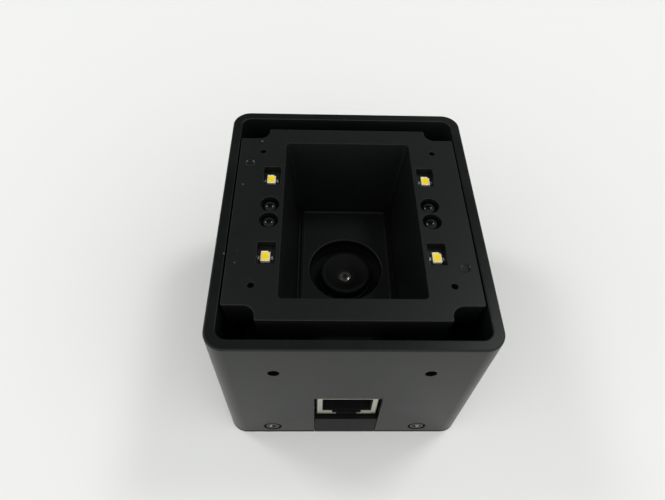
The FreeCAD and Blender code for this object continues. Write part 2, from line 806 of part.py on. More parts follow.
connector_split = main_top + spacer_height * camera_socket_share
save("camera_socket", camera_connector(main_top, connector_split))
save("camera_plug", camera_connector(connector_split, camera_bottom))
save("camera_spacers", make_camera_spacers())
save("camera_board", make_camera_board())
save("image_sensor", chip(sensor_width, sensor_width, sensor_height, 0, 0, camera_top))
save("sensor_glass", make_sensor_glass())
save("lens_holder", make_lens_holder())
save("lens_holder_screws", make_lens_holder_screws())
save("lens_barrel", make_lens_barrel())
save("lens_front_glass", make_lens_front_glass())
save("lens_rear_glass", make_lens_rear_glass())
save("lens_plate", make_lens_plate())

save("light_panel", make_light_panel())
save("light_board_screws", make_light_board_screws())
for side in sides:
    name = side_names[side]
    save("light_board_" + name, make_light_board(side))
    save("light_socket_" + name, make_socket(side * ribbon_x, light_board_bottom, False))
    save("main_socket_" + name, make_socket(side * ribbon_x, main_top, True))
    save("ribbon_" + name, make_ribbon(side))
for sx, sy in corners:
    name = side_names[sx] + "_" + end_names[sy]
    save("white_led_" + name, make_white_led(sx, sy))
    save("led_phosphor_" + name, make_led_phosphor(sx, sy))
    save("ir_dome_" + name, make_ir_dome(sx, sy))
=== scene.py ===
# Embedded barcode reader: the finished look of each piece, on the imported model. Meshes are drawn in
# millimetres with the origin under the middle of the base, the jack towards -Y and the rim up.
import math

import bmesh
import bpy
from mathutils import Euler, Matrix, Vector


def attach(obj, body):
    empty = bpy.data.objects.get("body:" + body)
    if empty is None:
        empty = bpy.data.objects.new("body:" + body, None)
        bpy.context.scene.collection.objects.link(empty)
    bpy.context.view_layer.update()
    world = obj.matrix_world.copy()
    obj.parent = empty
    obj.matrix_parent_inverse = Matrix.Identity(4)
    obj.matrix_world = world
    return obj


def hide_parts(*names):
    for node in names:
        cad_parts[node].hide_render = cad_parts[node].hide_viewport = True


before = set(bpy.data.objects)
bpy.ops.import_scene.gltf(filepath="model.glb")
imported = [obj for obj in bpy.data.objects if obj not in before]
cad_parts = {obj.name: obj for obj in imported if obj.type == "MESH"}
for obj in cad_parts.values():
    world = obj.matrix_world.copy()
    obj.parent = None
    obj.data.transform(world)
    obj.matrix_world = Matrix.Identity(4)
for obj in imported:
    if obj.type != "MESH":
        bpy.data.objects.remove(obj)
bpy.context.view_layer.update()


# Case: four walls of black anodised aluminium, milled from one block and open at both ends, with a fine
# groove round the foot. Two tapped holes in the front wall fix the reader to a machine, countersinks take
# the screws of the base cover, and a slot in the front wall leaves room for the jack.
MM = 0.001
SHARP = math.radians(32)
MERGE, LEVEL = 1e-4, 1e-3  # corners this close are one, and edges this close to a height lie at it
PAST, THROUGH = 1, 5  # how far a cut runs past a face, and the length of a cut through a wall
SIDES = (-1, 1)
CASE_TOP = 50.4
CASE_X, CASE_Y, CASE_CORNER = 30.9, 36.0, 4.6
INNER_X, INNER_Y, INNER_CORNER = 28.4, 33.5, 2.5
RIM_ROUNDING, INNER_ROUNDING, FOOT_ROUNDING, HOLE_ROUNDING = 0.45, 0.3, 0.5, 0.1
GROOVE_FOOT, GROOVE_HEIGHT, GROOVE_LEAN = 0.5, 0.9, 0.36
SLAB_MARGIN, SLAB_CORNER, CORE_MARGIN, CORE_HEIGHT = 2, 6.0, 0.04, 1.0
SLOT_X, SLOT_TOP = 8.2, 24.45
LEDGE_OUTLINE = ((29.6, 42.4), (26.4, 42.4), (26.4, 39.4), (28.4, 37.4), (29.6, 37.4))
LEDGE_Y = 24.5
FIXING_X, FIXING_Z, FIXING_RADIUS = 17.0, 39.3, 1.25
THREAD_PITCH = 0.5
COVER_SCREW_X, COVER_SCREW_Z = 19.2, 4.8
SCREW_CUT_START = 0.5
HEAD_HOLE, HEAD_HOLE_LENGTH, SINK_RADIUS, SHANK_HOLE = 2.35, 1.1, 2.9, 1.05
CASE_DUST = [(24.0, -36.0, 48.0, 0.1), (-28.6, 31.7, 50.4, 0.12), (-28.0, 33.5, 46.3, 0.15),
             (-28.6, -12.4, 50.4, 0.2)]


def rounded_corners(shape, verts, radius, steps):
    """Round these corners of a flat face."""
    bmesh.ops.bevel(shape, geom=verts, affect="VERTICES", offset=radius, segments=steps, profile=0.5,
                    material=-1)


def rounded_face(half_x, half_y, radius, steps, z):
    """Flat face with four round corners, the start of a block or of a cut."""
    shape = bmesh.new()
    bmesh.ops.create_grid(shape, x_segments=1, y_segments=1, size=1)
    bmesh.ops.scale(shape, vec=(half_x, half_y, 1), verts=shape.verts)
    bmesh.ops.translate(shape, vec=(0, 0, z), verts=shape.verts)
    rounded_corners(shape, shape.verts[:], radius, steps)
    return shape


def new_verts(made):
    """The vertices that an extrusion made."""
    return [item for item in made["geom"] if isinstance(item, bmesh.types.BMVert)]


def raised(shape, height, spread=0.0):
    """Extrude a flat face to a height; spread moves the sides of the far end outwards, as a draft does."""
    made = bmesh.ops.extrude_face_region(shape, geom=shape.faces[:], use_keep_orig=True)
    for vert in new_verts(made):
        out_x, out_y = math.copysign(1, vert.co.x), math.copysign(1, vert.co.y)
        vert.co += Vector((spread * out_x, spread * out_y, height))
    bmesh.ops.recalc_face_normals(shape, faces=shape.faces)
    return shape


def extruded(points, path):
    """Solid from a flat outline of corner points, pulled along a path."""
    shape = bmesh.new()
    shape.faces.new([shape.verts.new(point) for point in points])
    made = bmesh.ops.extrude_face_region(shape, geom=shape.faces[:], use_keep_orig=True)
    bmesh.ops.translate(shape, vec=path, verts=new_verts(made))
    bmesh.ops.recalc_face_normals(shape, faces=shape.faces)
    return shape


def span(half, middle=0):
    """Limits of a block that reaches equally far to both sides of its middle."""
    return (middle - half, middle + half)


def block(x, y, z):
    """Box between two limits on each axis."""
    shape = bmesh.new()
    bmesh.ops.create_cube(shape, size=1)
    bmesh.ops.scale(shape, vec=(x[1] - x[0], y[1] - y[0], z[1] - z[0]), verts=shape.verts)
    bmesh.ops.translate(shape, vec=(sum(x) / 2, sum(y) / 2, sum(z) / 2), verts=shape.verts)
    return shape


def bar(radius, length, steps, tip=None):
    """Round bar that stands on the origin, or a cone where the radius of its tip is another one."""
    shape = bmesh.new()
    bmesh.ops.create_cone(shape, cap_ends=True, segments=steps, radius1=radius,
                          radius2=radius if tip is None else tip, depth=length)
    bmesh.ops.translate(shape, vec=(0, 0, length / 2), verts=shape.verts)
    return shape


def placed(shape, place, turn=(0, 0, 0)):
    """Turn a shape about the origin by degrees on each axis, then move it to its place."""
    angles = Euler([math.radians(angle) for angle in turn])
    move = Matrix.Translation(place) @ angles.to_matrix().to_4x4()
    bmesh.ops.transform(shape, matrix=move, verts=shape.verts)
    return shape


def as_object(shape, name):
    """Object with the drawn shape as its mesh."""
    mesh = bpy.data.meshes.new(name)
    shape.to_mesh(mesh)
    shape.free()
    made = bpy.data.objects.new(name, mesh)
    bpy.context.collection.objects.link(made)
    return made


def machined(shape, operation, tools):
    """Shape after each tool in turn is taken from it (DIFFERENCE) or joined to it (UNION)."""
    work = as_object(shape, "work")
    tools = [as_object(tool, "tool") for tool in tools]
    for tool in tools:
        step = work.modifiers.new("step", "BOOLEAN")
        step.operation = operation
        step.solver = "EXACT"
        step.object = tool
    mesh = bpy.data.meshes.new_from_object(work.evaluated_get(bpy.context.evaluated_depsgraph_get()))
    result = bmesh.new()
    result.from_mesh(mesh)
    for data in [work.data, mesh] + [tool.data for tool in tools]:
        bpy.data.meshes.remove(data)
    bmesh.ops.remove_doubles(result, verts=result.verts, dist=MERGE)
    bmesh.ops.dissolve_limit(result, angle_limit=1e-3, verts=result.verts, edges=result.edges)
    return result


def rounded_edges(shape, radius, steps, chosen=lambda edge: True):
    """Round the sharp edges that are chosen."""
    sharp = [edge for edge in shape.edges if edge.is_manifold and edge.calc_face_angle() > SHARP]
    bmesh.ops.bevel(shape, geom=[edge for edge in sharp if chosen(edge)], affect="EDGES", offset=radius,
                    segments=steps, profile=0.5, material=-1)
    return shape


def level_at(z):
    """Test for edges that lie flat at a height."""
    return lambda edge: all(abs(vert.co.z - z) < LEVEL for vert in edge.verts)


def finished(shape, name, slot, finish, *nodes):
    """Make a piece of a drawn shape: it takes a finish and stands for its nodes in the model."""
    bmesh.ops.remove_doubles(shape, verts=shape.verts, dist=MERGE)
    bmesh.ops.recalc_face_normals(shape, faces=shape.faces)
    bmesh.ops.scale(shape, vec=(MM, MM, MM), verts=shape.verts)
    piece = as_object(shape, name)
    piece.data.shade_smooth()
    piece.data.set_sharp_from_angle(angle=SHARP)
    piece.data.materials.append(finish)
    shading = piece.modifiers.new("even_shading", "WEIGHTED_NORMAL")
    shading.keep_sharp = True
    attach(piece, "root")
    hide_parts(*nodes)


class Wire:
    """Output of a shader node; sums and products of wires add the Math nodes for them."""

    def __init__(self, tree, socket=None):
        self.tree = tree
        self.socket = socket

    def node(self, kind, settings, inputs, output=0):
        """Add a node: first its settings, then the values or wires of its sockets."""
        made = self.tree.nodes.new("ShaderNode" + kind)
        for name, value in settings.items():
            setattr(made, name, value)
        for name, value in inputs.items():
            if isinstance(value, Wire):
                self.tree.links.new(value.socket, made.inputs[name])
            else:
                made.inputs[name].default_value = value
        return Wire(self.tree, made.outputs[output] if made.outputs else None)

    def maths(self, operation, *values):
        return self.node("Math", {"operation": operation}, dict(enumerate(values)))

    def __add__(self, other):
        return self.maths("ADD", self, other)

    def __sub__(self, other):
        return self.maths("SUBTRACT", self, other)

    def __rsub__(self, other):
        return self.maths("SUBTRACT", other, self)

    def __mul__(self, other):
        return self.maths("MULTIPLY", self, other)

    def __truediv__(self, other):
        return self.maths("DIVIDE", self, other)

    def __mod__(self, other):
        return self.maths("FLOORED_MODULO", self, other)

    def __abs__(self):
        return self.maths("ABSOLUTE", self)

    __radd__ = __add__


def new_finish(name):
    """Empty material, and the wire of the place on the piece that its patterns read."""
    finish = bpy.data.materials.new(name)
    finish.use_nodes = True
    finish.node_tree.nodes.clear()
    return finish, Wire(finish.node_tree).node("TexCoord", {}, {}, "Object")


def surface(place, sockets):
    """Close a material with one shader that has these sockets set."""
    place.node("OutputMaterial", {}, {"Surface": place.node("BsdfPrincipled", {}, sockets)})


def axes(place):
    """The x, y and z of a place, each as a wire."""
    return [place.node("SeparateXYZ", {}, {0: place}, axis) for axis in range(3)]


def noise(place, size, detail=2.0):
    """Cloudy pattern from 0 to 1, with lumps of about this size in millimetres."""
    return place.node("TexNoise", {}, {"Vector": place, "Scale": 1 / (size * MM), "Detail": detail})


def waves(value, pitch):
    """Zigzag along a value: 0.5 at each whole pitch, given in millimetres, and 0 half way between."""
    return abs(value % (pitch * MM) / (pitch * MM) - 0.5)


def squares(first, second):
    """Square of the distance from an axis, given the two distances across it."""
    return first * first + second * second


def ramp(value, low, high):
    """0 below low, 1 above high and a soft step between."""
    return value.node("MapRange", {"interpolation_type": "SMOOTHSTEP"}, {0: value, 1: low, 2: high})


def beyond(squared, low, high):
    """Soft step from 0 to 1 between two distances in millimetres, given the square of a distance."""
    return ramp(squared, (low * MM) ** 2, (high * MM) ** 2)


def blend(share, first, second):
    """Colour that goes from the first to the second."""
    return share.node("Mix", {"data_type": "RGBA"}, {0: share, 6: first, 7: second}, 2)


def relief(height, depth):
    """Normal of a surface with this pattern pressed into it, to a depth in millimetres."""
    return height.node("Bump", {}, {"Strength": 1.0, "Distance": depth * MM, "Height": height})


def away_from(place, point):
    """Distance to a point given in millimetres."""
    there = [value * MM for value in point]
    return place.node("VectorMath", {"operation": "DISTANCE"}, {0: place, 1: there}, "Value")


def dusted(place, specks):
    """Mask of a thin film of dust and of ragged specks.

    Each speck has its point and its radius in millimetres.
    """
    ragged = noise(place, 0.3) * (0.4 * MM)
    mask = ramp(noise(place, 1.5, 5.0), 0.6, 0.8) * 0.04
    for *point, radius in specks:
        mask = mask + (1 - ramp(away_from(place, point) + ragged, radius * MM, (radius + 0.25) * MM))
    return mask


def make_case():
    shape = raised(rounded_face(CASE_X, CASE_Y, CASE_CORNER, 14, 0), CASE_TOP)
    rounded_edges(shape, RIM_ROUNDING, 4, level_at(CASE_TOP))
    rounded_edges(shape, FOOT_ROUNDING, 4, level_at(0))
    slab = rounded_face(CASE_X + SLAB_MARGIN, CASE_Y + SLAB_MARGIN, SLAB_CORNER, 8, GROOVE_FOOT)
    core = rounded_face(CASE_X + CORE_MARGIN, CASE_Y + CORE_MARGIN, CASE_CORNER, 14, GROOVE_FOOT)
    groove = machined(raised(slab, GROOVE_HEIGHT), "DIFFERENCE", [raised(core, CORE_HEIGHT, -GROOVE_LEAN)])
    tools = [groove, raised(rounded_face(INNER_X, INNER_Y, INNER_CORNER, 10, -PAST), CASE_TOP + 2 * PAST),
             block(span(SLOT_X), (-CASE_Y - 2 * PAST, THROUGH - CASE_Y), (-PAST, SLOT_TOP))]
    for side in SIDES:
        fixing = (side * FIXING_X, -CASE_Y - PAST, FIXING_Z)
        tools.append(placed(bar(FIXING_RADIUS, THROUGH, 32), fixing, (-90, 0, 0)))
        for end in SIDES:
            face = (side * COVER_SCREW_X, end * (CASE_Y + SCREW_CUT_START), COVER_SCREW_Z)
            cuts = (bar(HEAD_HOLE, HEAD_HOLE_LENGTH, 40), bar(SINK_RADIUS, SINK_RADIUS, 40, 0.0),
                    bar(SHANK_HOLE, THROUGH, 24))
            tools.extend(placed(cut, face, (end * 90, 0, 0)) for cut in cuts)
    shape = machined(shape, "DIFFERENCE", tools)
    ledges = [extruded([(side * x, -LEDGE_Y, z) for x, z in LEDGE_OUTLINE], (0, 2 * LEDGE_Y, 0))
              for side in SIDES]
    shape = machined(shape, "UNION", ledges)
    rounded_edges(shape, INNER_ROUNDING, 3, level_at(CASE_TOP))

    def on_wall_face(edge):
        return all(abs(abs(vert.co.y) - CASE_Y) < LEVEL for vert in edge.verts)

    return rounded_edges(shape, HOLE_ROUNDING, 2, on_wall_face)


def black_anodised():
    """Satin black: a blasted grain, faint smudges from handling, and the threads of the fixing holes, whose
    insides are painted nearly black as painted shade.
    """
    finish, place = new_finish("black_anodised")
    x, y, z = axes(place)
    grain = noise(place, 0.22)
    smudge = ramp(noise(place, 14.0, 3.0), 0.35, 0.7)
    from_hole = squares(abs(x) - FIXING_X * MM, z - FIXING_Z * MM)
    in_front = 1 - ramp(y, -2 * MM, 2 * MM)
    hole_shade_and_threads = (1 - beyond(from_hole, FIXING_RADIUS, FIXING_RADIUS + 0.1)) * in_front
    satin = blend(smudge, (0.0042, 0.0052, 0.0052, 1), (0.0058, 0.0070, 0.0070, 1))
    coat = blend(dusted(place, CASE_DUST), satin, (0.16, 0.16, 0.15, 1))
    # The insides of the fixing holes take a near-black metal colour, which is painted shade in the holes;
    # the threads are pressed into the same places.
    surface(place, {"Base Color": blend(hole_shade_and_threads, coat, (0.006, 0.006, 0.006, 1)), "Metallic": hole_shade_and_threads,
                    "Roughness": 0.27 + smudge * 0.04 + grain * 0.05 + hole_shade_and_threads * 0.5,
                    "IOR": 1.29, "Specular Tint": (0.96, 1.0, 0.95, 1),
                    "Normal": relief(grain + hole_shade_and_threads * waves(y, THREAD_PITCH) * 20.0, 0.008)})
    return finish


finished(make_case(), "case_shell", "case_black", black_anodised(), "housing")


# Light boards: two black circuit boards screwed up under the panel, one on each side of the funnel, with
# a ribbon cable from each down to the main board. They only show through the windows of the panel.
LIGHT_BOARD_TOP = 48.3
TRACK_PITCH, TRACK_CELL = 0.8, 7
CONDUCTOR_PITCH = 1.0


def finish_nodes(finish, *names):
    """Give nodes of the model that keep their shape a finish."""
    for name in names:
        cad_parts[name].data.materials.clear()
        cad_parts[name].data.materials.append(finish)


def circuit_board(name, mask, track):
    """Solder mask over copper tracks: straight runs in cells that lie one way or the other."""
    finish, place = new_finish(name)
    cell = place.node("TexVoronoi", {"distance": "CHEBYCHEV"},
                      {"Vector": place, "Scale": 1 / (TRACK_CELL * MM)}, "Color")
    way = ramp(cell.node("SeparateColor", {}, {0: cell}), 0.45, 0.55)
    run_x, run_y = [ramp(waves(value, TRACK_PITCH), 0.2, 0.25) for value in axes(place)[:2]]
    runs = run_x * way + run_y * (1 - way)
    surface(place, {"Base Color": blend(runs, mask, track), "Roughness": 0.34 + noise(place, 3.0) * 0.12,
                    "Normal": relief(runs + noise(place, 0.3) * 0.2, 0.02)})
    return finish


def ribbon_cable():
    """White film with flat conductors that show through as fine grey lines."""
    finish, place = new_finish("ribbon_film")
    wires = ramp(waves(axes(place)[1], CONDUCTOR_PITCH), 0.2, 0.28)
    surface(place, {"Base Color": blend(wires, (0.78, 0.78, 0.75, 1), (0.55, 0.55, 0.54, 1)),
                    "Roughness": 0.35 + noise(place, 2.0) * 0.1, "Normal": relief(wires, 0.03)})
    return finish


def socket_plastic():
    """Cream heat-proof plastic with the slits of the spring contacts."""
    finish, place = new_finish("socket_cream")
    slits = ramp(waves(axes(place)[1], CONDUCTOR_PITCH), 0.36, 0.42)
    mottle = noise(place, 0.6)
    cream = blend(mottle, (0.70, 0.64, 0.52, 1), (0.76, 0.70, 0.58, 1))
    surface(place, {"Base Color": blend(slits, cream, (0.30, 0.27, 0.21, 1)),
                    "Roughness": 0.5 + mottle * 0.15, "Normal": relief(mottle - slits, 0.03)})
    return finish


def screw_metal(name, dull, bright, metallic, roughness, gloss):
    """Screw with a fine grain and a haze between two shades."""
    finish, place = new_finish(name)
    haze = noise(place, 1.2, 4.0)
    surface(place, {"Base Color": blend(haze, dull, bright), "Metallic": metallic,
                    "Roughness": roughness + haze * 0.2, "Specular IOR Level": gloss,
                    "Normal": relief(noise(place, 0.12), 0.01)})
    return finish


board_black = circuit_board("board_black", (0.004, 0.004, 0.0045, 1), (0.008, 0.008, 0.009, 1))
cable_white, cream_plastic = ribbon_cable(), socket_plastic()
black_screw = screw_metal("screw_oxide", (0.001, 0.0011, 0.001, 1), (0.002, 0.002, 0.002, 1),
                          metallic=0.0, roughness=0.7, gloss=0.02)
finish_nodes(black_screw, "light_board_screws")
for hand in ("left", "right"):
    finish_nodes(board_black, "light_board_" + hand)
    finish_nodes(cable_white, "ribbon_" + hand)
    finish_nodes(cream_plastic, "light_socket_" + hand, "main_socket_" + hand)


# White LEDs: four surface-mount packages on the light boards. Each is a white moulded body with a well
# full of yellow phosphor, a corner cut off as its polarity mark and tinned feet soldered at both sides.
CORNERS = [(side, end) for side in SIDES for end in SIDES]
LED_X, LED_Y = 19.55, 12.0
LED_HALF_X, LED_HALF_Y, LED_HEIGHT = 1.05, 1.4, 0.75
LED_CORNER, LED_ROUNDING = 0.1, 0.04
LED_BORDER, WELL_CORNER, WELL_HEIGHT, WELL_SPREAD = 0.25, 0.2, 0.4, 0.12
FILL_FOOT, FILL_TOP, FILL_SPREAD, FILL_ROUNDING = 0.55, 0.72, 0.04, 0.1
POLARITY_X, POLARITY_FOOT, POLARITY_TOP, POLARITY_OFFSET = 0.28, 0.4, 1.2, 0.02
LAND_X, LAND_Y, LAND_HEIGHT = 0.75, 0.5, 0.06
BEAD_X, BEAD_Y, BEAD_HEIGHT, BEAD_ROUNDING = 0.4, 0.4, 0.28, 0.14


def led_well(height, spread):
    """Space in an LED body for its phosphor, wider at the top."""
    foot = rounded_face(LED_HALF_X - LED_BORDER, LED_HALF_Y - LED_BORDER, WELL_CORNER, 5, FILL_FOOT)
    return raised(foot, height, spread)


def make_led_body():
    shape = raised(rounded_face(LED_HALF_X, LED_HALF_Y, LED_CORNER, 3, 0), LED_HEIGHT)
    corner = (LED_HALF_X + POLARITY_OFFSET, LED_HALF_Y + POLARITY_OFFSET, 0)
    mark = placed(block(span(POLARITY_X), span(1), (POLARITY_FOOT, POLARITY_TOP)), corner, (0, 0, -45))
    shape = machined(shape, "DIFFERENCE", [mark, led_well(WELL_HEIGHT, WELL_SPREAD)])
    return rounded_edges(shape, LED_ROUNDING, 2)


def make_led_fill():
    return rounded_edges(led_well(FILL_TOP - FILL_FOOT, FILL_SPREAD), FILL_ROUNDING, 4, level_at(FILL_TOP))


def joined(shapes):
    """One mesh with all the shapes, which stay apart in it."""
    whole = bmesh.new()
    for shape in shapes:
        mesh = bpy.data.meshes.new("part")
        shape.to_mesh(mesh)
        shape.free()
        whole.from_mesh(mesh)
        bpy.data.meshes.remove(mesh)
    return whole


def make_led_feet():
    """Flat lands on the board at both sides of the body, each with a round bead of solder at its end."""
    feet = []
    for side in SIDES:
        bead = block((BEAD_X, LAND_X), span(BEAD_Y), (0, BEAD_HEIGHT))
        rounded_edges(bead, BEAD_ROUNDING, 4, level_at(BEAD_HEIGHT))
        foot = machined(block((0, LAND_X), span(LAND_Y), (0, LAND_HEIGHT)), "UNION", [bead])
        feet.append(placed(foot, (side * LED_HALF_X, 0, 0), (0, 0, 90 - side * 90)))
    return joined(feet)


def white_moulding():
    """White reflector plastic, mottled and slightly warm."""
    finish, place = new_finish("led_white")
    mottle = noise(place, 0.4)
    surface(place, {"Base Color": blend(mottle, (0.86, 0.80, 0.62, 1), (0.90, 0.85, 0.70, 1)),
                    "Roughness": 0.4 + mottle * 0.15, "Normal": relief(mottle, 0.01)})
    return finish


def yellow_phosphor():
    """Silicone full of yellow powder, deeper in colour towards the middle."""
    finish, place = new_finish("phosphor_yellow")
    x, y = axes(place)[:2]
    off_x, off_y = abs(x) - LED_X * MM, abs(y) - LED_Y * MM
    middle = 1 - beyond(off_x * off_x + off_y * off_y * 0.6, 0.0, 0.9)
    powder = noise(place, 0.12)
    pale = blend(powder, (0.95, 0.76, 0.10, 1), (0.98, 0.82, 0.16, 1))
    surface(place, {"Base Color": blend(middle, pale, (0.98, 0.72, 0.004, 1)),
                    "Roughness": 0.4 + powder * 0.15, "Specular IOR Level": 0.2,
                    "Normal": relief(powder, 0.006)})
    return finish


def solder_tin():
    """Tin, dulled by flux."""
    finish, place = new_finish("solder_tin")
    ripple = noise(place, 0.5)
    surface(place, {"Base Color": blend(ripple, (0.40, 0.40, 0.39, 1), (0.62, 0.62, 0.60, 1)),
                    "Metallic": 1.0, "Roughness": 0.3 + ripple * 0.15, "Normal": relief(ripple, 0.02)})
    return finish


def corner_name(side, end):
    """Name of one of four places: left or right, then front or back."""
    hand = "left" if side < 0 else "right"
    return hand + ("_front" if end < 0 else "_back")


led_white, phosphor_yellow, led_tin = white_moulding(), yellow_phosphor(), solder_tin()
for side, end in CORNERS:
    name = corner_name(side, end)
    seat = (side * LED_X, end * LED_Y, LIGHT_BOARD_TOP)
    finished(placed(make_led_body(), seat), "led_body_" + name, "led_white", led_white, "white_led_" + name)
    finished(placed(make_led_fill(), seat), "led_fill_" + name, "phosphor_yellow", phosphor_yellow,
             "led_phosphor_" + name)
    finished(placed(make_led_feet(), seat), "led_feet_" + name, "shield_bright", led_tin)


# Aiming domes: four glossy black epoxy lenses, dark to the eye, that pass infrared light. Each is cast as
# one short post with a round cap and stands on a light board, in a hole of the panel.
DOME_X, DOME_Y = 19.3, 2.475
DOME_RADIUS, DOME_BULGE, DOME_HEIGHT, DOME_ROUNDING = 1.9, 1.0, 1.9, 0.12


def round_cap(radius, bulge, foot, steps):
    """Round cap on a straight post, closed underneath: its crown is bulge above the post, at height 0."""
    ball = (radius ** 2 + bulge ** 2) / (2 * bulge)
    shape = bmesh.new()
    bmesh.ops.create_uvsphere(shape, u_segments=steps, v_segments=steps, radius=ball)
    bmesh.ops.translate(shape, vec=(0, 0, -ball), verts=shape.verts)
    everything = shape.verts[:] + shape.edges[:] + shape.faces[:]
    bmesh.ops.bisect_plane(shape, geom=everything, plane_co=(0, 0, -bulge), plane_no=(0, 0, 1),
                           clear_inner=True)
    rim = [edge for edge in shape.edges if edge.is_boundary]
    made = bmesh.ops.extrude_edge_only(shape, edges=rim)
    bmesh.ops.translate(shape, vec=(0, 0, bulge - foot), verts=new_verts(made))
    bmesh.ops.holes_fill(shape, edges=[edge for edge in shape.edges if edge.is_boundary], sides=0)
    return shape


def dark_epoxy():
    """Cast epoxy, nearly black with faint swirls, as glossy as glass."""
    finish, place = new_finish("dome_black")
    swirl = noise(place, 1.5)
    surface(place, {"Base Color": blend(swirl, (0.0018, 0.0018, 0.0018, 1), (0.0042, 0.0038, 0.0038, 1)),
                    "Roughness": 0.05 + swirl * 0.04, "Specular IOR Level": 0.2})
    return finish


dome_black = dark_epoxy()
for side, end in CORNERS:
    name = corner_name(side, end)
    dome = rounded_edges(round_cap(DOME_RADIUS, DOME_BULGE, DOME_HEIGHT, 48), DOME_ROUNDING, 3)
    crown = (side * DOME_X, end * DOME_Y, LIGHT_BOARD_TOP + DOME_HEIGHT)
    finished(placed(dome, crown), "dome_lens_" + name, "dome_black", dome_black, "ir_dome_" + name)


# Light panel: one black moulding flush with the rim, with a short skirt that stands on the ledges of the
# case and a tapered funnel down to the camera. Its corners are notched, and two pins of its mould left
# shallow round dishes.
PANEL_DROP, SKIRT_TAPER, SKIRT_WALL = 8.0, 0.4, 1.9
TONGUE_X, TONGUE_Y = 20.8, 29.25
PANEL_X, PANEL_Y = 28.1, 25.65
PANEL_CORNER, NOTCH_CORNER = 0.4, 2.6
PANEL_ROUNDING, OPENING_ROUNDING = 0.25, 0.13
PANEL_CUT_FOOT = 47
WINDOW_X, WINDOW_Y, WINDOW_CORNER = 2.1, 3.05, 0.25
DOME_HOLE = 2.3
PILOT_X, PILOT_Y, PILOT_RADIUS = 22.05, 20.65, 0.75
FUNNEL_X, FUNNEL_Y, FUNNEL_FOOT = 13.1, 20.85, 26.2
FUNNEL_WALL, FUNNEL_CORNER, FUNNEL_OUTER_CORNER = 1.0, 1.0, 1.6
FUNNEL_SLOPE = 3.05 / 24.2
WALL_OVERLAP = 0.5
PIN_MARKS = ((-25.1, 16.3), (25.0, -15.8))
MARK_RADIUS, MARK_RING, MARK_ROUGHNESS = 1.3, 0.15, 0.18
DISH_OUTLINE = [(0, -0.23), (0.7, -0.23), (0.85, -0.204), (1.0, -0.155), (1.15, -0.088), (1.25, -0.033),
                (MARK_RADIUS, 0), (MARK_RADIUS + 0.09, 0.06), (0, 0.06)]
PANEL_DUST = [(-22.6, 24.4, 50.4, 0.3), (-26.35, 8.8, 50.4, 0.25), (-26.0, -14.8, 50.4, 0.2),
              (-25.8, -11.5, 50.4, 0.08), (23.7, 15.0, 50.4, 0.08), (23.1, 4.0, 50.4, 0.05),
              (17.25, -17.9, 50.4, 0.12)]


def turned(points, steps):
    """Ring turned about the upright axis from a closed outline of (radius, height) points."""
    shape = bmesh.new()
    verts = [shape.verts.new((radius, 0, height)) for radius, height in points]
    edges = [shape.edges.new((vert, verts[index - 1])) for index, vert in enumerate(verts)]
    bmesh.ops.spin(shape, geom=verts + edges, cent=(0, 0, 0), axis=(0, 0, 1), angle=2 * math.pi,
                   steps=steps, use_merge=True)
    bmesh.ops.remove_doubles(shape, verts=shape.verts, dist=MERGE)
    bmesh.ops.recalc_face_normals(shape, faces=shape.faces)
    return shape


def tapered(half_x, half_y, radius, steps, foot, height):
    """Upright block with the slope of the funnel."""
    return raised(rounded_face(half_x, half_y, radius, steps, foot), height, height * FUNNEL_SLOPE)


def make_panel():
    corners = [(-TONGUE_X, -TONGUE_Y), (TONGUE_X, -TONGUE_Y), (TONGUE_X, -PANEL_Y), (PANEL_X, -PANEL_Y),
               (PANEL_X, PANEL_Y), (TONGUE_X, PANEL_Y), (TONGUE_X, TONGUE_Y), (-TONGUE_X, TONGUE_Y),
               (-TONGUE_X, PANEL_Y), (-PANEL_X, PANEL_Y), (-PANEL_X, -PANEL_Y), (-TONGUE_X, -PANEL_Y)]
    shape = bmesh.new()
    shape.faces.new([shape.verts.new((x, y, CASE_TOP)) for x, y in corners])

    def in_notch(vert):
        return abs(abs(vert.co.x) - TONGUE_X) < MERGE and abs(abs(vert.co.y) - PANEL_Y) < MERGE

    rounded_corners(shape, [vert for vert in shape.verts if not in_notch(vert)], PANEL_CORNER, 4)
    rounded_corners(shape, [vert for vert in shape.verts if in_notch(vert)], NOTCH_CORNER, 10)
    shape = raised(shape, -PANEL_DROP, -SKIRT_TAPER)
    rounded_edges(shape, PANEL_ROUNDING, 3, level_at(CASE_TOP))
    under = (CASE_TOP - PANEL_DROP - PAST, LIGHT_BOARD_TOP)
    tools = [block(span(x - SKIRT_WALL), span(y - SKIRT_WALL), under)
             for x, y in ((PANEL_X, PANEL_Y), (TONGUE_X, TONGUE_Y))]
    for side, end in CORNERS:
        window = raised(rounded_face(WINDOW_X, WINDOW_Y, WINDOW_CORNER, 4, PANEL_CUT_FOOT), THROUGH)
        tools.append(placed(window, (side * DOME_X, end * LED_Y, 0)))
        dome_foot = (side * DOME_X, end * DOME_Y, PANEL_CUT_FOOT)
        tools.append(placed(bar(DOME_HOLE, THROUGH, 48), dome_foot))
        pilot_foot = (side * PILOT_X, end * PILOT_Y, PANEL_CUT_FOOT)
        tools.append(placed(bar(PILOT_RADIUS, THROUGH, 24), pilot_foot))
    shape = machined(shape, "DIFFERENCE", tools)
    wall = tapered(FUNNEL_X + FUNNEL_WALL, FUNNEL_Y + FUNNEL_WALL, FUNNEL_OUTER_CORNER, 6, FUNNEL_FOOT,
                   LIGHT_BOARD_TOP + WALL_OVERLAP - FUNNEL_FOOT)
    shape = machined(shape, "UNION", [wall])
    light_path = tapered(FUNNEL_X - FUNNEL_SLOPE, FUNNEL_Y - FUNNEL_SLOPE, FUNNEL_CORNER, 8,
                         FUNNEL_FOOT - PAST, CASE_TOP - FUNNEL_FOOT + 2 * PAST)
    shape = machined(shape, "DIFFERENCE", [light_path])
    rounded_edges(shape, OPENING_ROUNDING, 3, level_at(CASE_TOP))
    dishes = [placed(turned(DISH_OUTLINE, 48), (x, y, CASE_TOP)) for x, y in PIN_MARKS]
    return machined(shape, "DIFFERENCE", dishes)


